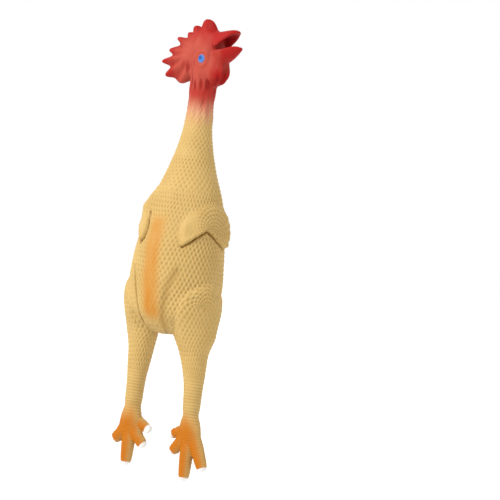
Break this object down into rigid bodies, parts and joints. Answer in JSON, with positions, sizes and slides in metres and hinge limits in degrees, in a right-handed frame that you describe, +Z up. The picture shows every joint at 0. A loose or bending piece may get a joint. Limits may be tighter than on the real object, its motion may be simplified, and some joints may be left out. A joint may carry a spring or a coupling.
{
  "type": "rubber chicken",
  "caption": "Hollow latex chicken held by the neck; head, beak, comb, wattles, neck, legs and toes flex, and squeezing the breast works a squeaker.",
  "frame": {"origin": "middle of the grip on the neck, on the neck's axis", "axes": "+Z up the neck towards the head, -Y the way the breast faces, +X the chicken's left and the way the beak points"},
  "size_m": [0.1138, 0.0952, 0.4582],
  "materials": {
    "yellow_latex": "matte moulded latex, pale yellow, pebbled like plucked skin",
    "red_latex": "matte moulded latex, sprayed red",
    "orange_latex": "matte moulded latex, sprayed orange",
    "squeaker_plastic": "moulded, off-white",
    "reed_film": "thin stiff film"
  },
  "bodies": {
    "neck": {"neck_skin": "yellow_latex", "throat_flex": "yellow_latex", "sway_flex": "yellow_latex"},
    "head": {"head_skin": "red_latex", "jaw_flex": "red_latex"},
    "lower_beak": {"lower_beak": "red_latex"},
    "comb": {"comb": "red_latex"},
    "left_wattle": {"left_wattle": "red_latex"},
    "right_wattle": {"right_wattle": "red_latex"},
    "lower_neck": {"collar_skin": "yellow_latex", "bend_flex": "yellow_latex"},
    "torso": {"torso_skin": "yellow_latex", "breast_rim_flex": "yellow_latex", "left_hip_flex": "yellow_latex", "right_hip_flex": "yellow_latex", "squeaker_seat": "yellow_latex", "squeaker_cup": "squeaker_plastic", "squeaker_cap": "squeaker_plastic", "squeaker_reed_block": "squeaker_plastic"},
    "breast": {"breast_skin": "yellow_latex"},
    "reed": {"squeaker_reed": "reed_film"},
    "left_thigh": {"left_thigh_skin": "yellow_latex", "left_hock_flex": "yellow_latex"},
    "left_shank": {"left_shank_skin": "yellow_latex", "left_ankle_flex": "orange_latex"},
    "left_foot": {"left_foot": "orange_latex"},
    "left_hind_toe": {"left_hind_toe": "orange_latex"},
    "left_inner_toe": {"left_inner_toe": "orange_latex"},
    "left_middle_toe": {"left_middle_toe": "orange_latex"},
    "left_outer_toe": {"left_outer_toe": "orange_latex"},
    "right_thigh": {"right_thigh_skin": "yellow_latex", "right_hock_flex": "yellow_latex"},
    "right_shank": {"right_shank_skin": "yellow_latex", "right_ankle_flex": "orange_latex"},
    "right_foot": {"right_foot": "orange_latex"},
    "right_hind_toe": {"right_hind_toe": "orange_latex"},
    "right_inner_toe": {"right_inner_toe": "orange_latex"},
    "right_middle_toe": {"right_middle_toe": "orange_latex"},
    "right_outer_toe": {"right_outer_toe": "orange_latex"}
  },
  "joints": [
    {"name": "head_nod", "type": "hinge", "parent": "neck", "child": "head", "pos_m": [0, 0, 0.02], "axis": [0, 1, 0], "range_deg": [-35, 35], "stiffness_Nm_per_rad": 0.35, "deforming": ["throat_flex"]},
    {"name": "beak_gape", "type": "hinge", "parent": "head", "child": "lower_beak", "pos_m": [0.01, 0, 0.073], "axis": [0, 1, 0], "range_deg": [-18, 4], "stiffness_Nm_per_rad": 0.05, "deforming": ["jaw_flex"]},
    {"name": "comb_flop", "type": "hinge", "parent": "head", "child": "comb", "pos_m": [-0.0148, 0, 0.065], "axis": [0.1537, 0, 0.9881], "range_deg": [-25, 25], "stiffness_Nm_per_rad": 0.03},
    {"name": "left_wattle_swing", "type": "hinge", "parent": "lower_beak", "child": "left_wattle", "pos_m": [0.0224, 0.0046, 0.0575], "axis": [1, 0, 0], "range_deg": [0, 25], "stiffness_Nm_per_rad": 0.015},
    {"name": "right_wattle_swing", "type": "hinge", "parent": "lower_beak", "child": "right_wattle", "pos_m": [0.0224, -0.0046, 0.0575], "axis": [1, 0, 0], "range_deg": [-25, 0], "stiffness_Nm_per_rad": 0.015},
    {"name": "neck_sway", "type": "hinge", "parent": "neck", "child": "lower_neck", "pos_m": [0, 0, -0.019], "axis": [0, 1, 0], "range_deg": [-20, 20], "stiffness_Nm_per_rad": 0.5, "deforming": ["sway_flex"]},
    {"name": "neck_bend", "type": "hinge", "parent": "lower_neck", "child": "torso", "pos_m": [0, 0, -0.049], "axis": [1, 0, 0], "range_deg": [-30, 30], "stiffness_Nm_per_rad": 0.5, "deforming": ["bend_flex"]},
    {"name": "breast_squeeze", "type": "slide", "parent": "torso", "child": "breast", "axis": [0, 1, 0], "range_m": [0, 0.012], "stiffness_N_per_m": 400, "deforming": ["breast_rim_flex"]},
    {"name": "reed_buzz", "type": "hinge", "parent": "torso", "child": "reed", "pos_m": [0, 0.02189, -0.12957], "axis": [1, 0, 0], "range_deg": [-1.2, 3], "stiffness_Nm_per_rad": 0.002},
    {"name": "left_hip_swing", "type": "hinge", "parent": "torso", "child": "left_thigh", "pos_m": [0.03125, -0.0036, -0.227], "axis": [1, 0, 0], "range_deg": [-45, 45], "stiffness_Nm_per_rad": 0.15, "deforming": ["left_hip_flex"]},
    {"name": "left_hock_bend", "type": "hinge", "parent": "left_thigh", "child": "left_shank", "pos_m": [0.03445, -0.00025, -0.263], "axis": [1, 0, 0], "range_deg": [-40, 40], "stiffness_Nm_per_rad": 0.08, "deforming": ["left_hock_flex"]},
    {"name": "left_ankle_bend", "type": "hinge", "parent": "left_shank", "child": "left_foot", "pos_m": [0.035, 0.00075, -0.295], "axis": [1, 0, 0], "range_deg": [-35, 35], "stiffness_Nm_per_rad": 0.05, "deforming": ["left_ankle_flex"]},
    {"name": "left_hind_toe_curl", "type": "hinge", "parent": "left_foot", "child": "left_hind_toe", "pos_m": [0.026, 0.002, -0.3095], "axis": [-0.4315, 0, 0.9021], "range_deg": [-25, 25], "stiffness_Nm_per_rad": 0.02},
    {"name": "left_inner_toe_curl", "type": "hinge", "parent": "left_foot", "child": "left_inner_toe", "pos_m": [0.027, 0.002, -0.322], "axis": [-0.7368, 0, 0.6761], "range_deg": [-25, 25], "stiffness_Nm_per_rad": 0.02},
    {"name": "left_middle_toe_curl", "type": "hinge", "parent": "left_foot", "child": "left_middle_toe", "pos_m": [0.0355, 0.002, -0.3295], "axis": [-0.9999, 0, -0.012], "range_deg": [-25, 25], "stiffness_Nm_per_rad": 0.02},
    {"name": "left_outer_toe_curl", "type": "hinge", "parent": "left_foot", "child": "left_outer_toe", "pos_m": [0.0455, 0.002, -0.323], "axis": [-0.9068, 0, -0.4216], "range_deg": [-25, 25], "stiffness_Nm_per_rad": 0.02},
    {"name": "right_hip_swing", "type": "hinge", "parent": "torso", "child": "right_thigh", "pos_m": [-0.03125, -0.0036, -0.227], "axis": [1, 0, 0], "range_deg": [-45, 45], "stiffness_Nm_per_rad": 0.15, "deforming": ["right_hip_flex"]},
    {"name": "right_hock_bend", "type": "hinge", "parent": "right_thigh", "child": "right_shank", "pos_m": [-0.03445, -0.00025, -0.263], "axis": [1, 0, 0], "range_deg": [-40, 40], "stiffness_Nm_per_rad": 0.08, "deforming": ["right_hock_flex"]},
    {"name": "right_ankle_bend", "type": "hinge", "parent": "right_shank", "child": "right_foot", "pos_m": [-0.035, 0.00075, -0.295], "axis": [1, 0, 0], "range_deg": [-35, 35], "stiffness_Nm_per_rad": 0.05, "deforming": ["right_ankle_flex"]},
    {"name": "right_hind_toe_curl", "type": "hinge", "parent": "right_foot", "child": "right_hind_toe", "pos_m": [-0.026, 0.002, -0.3095], "axis": [-0.4299, 0, -0.9029], "range_deg": [-25, 25], "stiffness_Nm_per_rad": 0.02},
    {"name": "right_inner_toe_curl", "type": "hinge", "parent": "right_foot", "child": "right_inner_toe", "pos_m": [-0.027, 0.002, -0.322], "axis": [-0.6854, 0, -0.7282], "range_deg": [-25, 25], "stiffness_Nm_per_rad": 0.02},
    {"name": "right_middle_toe_curl", "type": "hinge", "parent": "right_foot", "child": "right_middle_toe", "pos_m": [-0.0355, 0.002, -0.3295], "axis": [-1, 0, -0.005], "range_deg": [-25, 25], "stiffness_Nm_per_rad": 0.02},
    {"name": "right_outer_toe_curl", "type": "hinge", "parent": "right_foot", "child": "right_outer_toe", "pos_m": [-0.0455, 0.002, -0.323], "axis": [-0.6097, 0, 0.7926], "range_deg": [-25, 25], "stiffness_Nm_per_rad": 0.02}
  ]
}
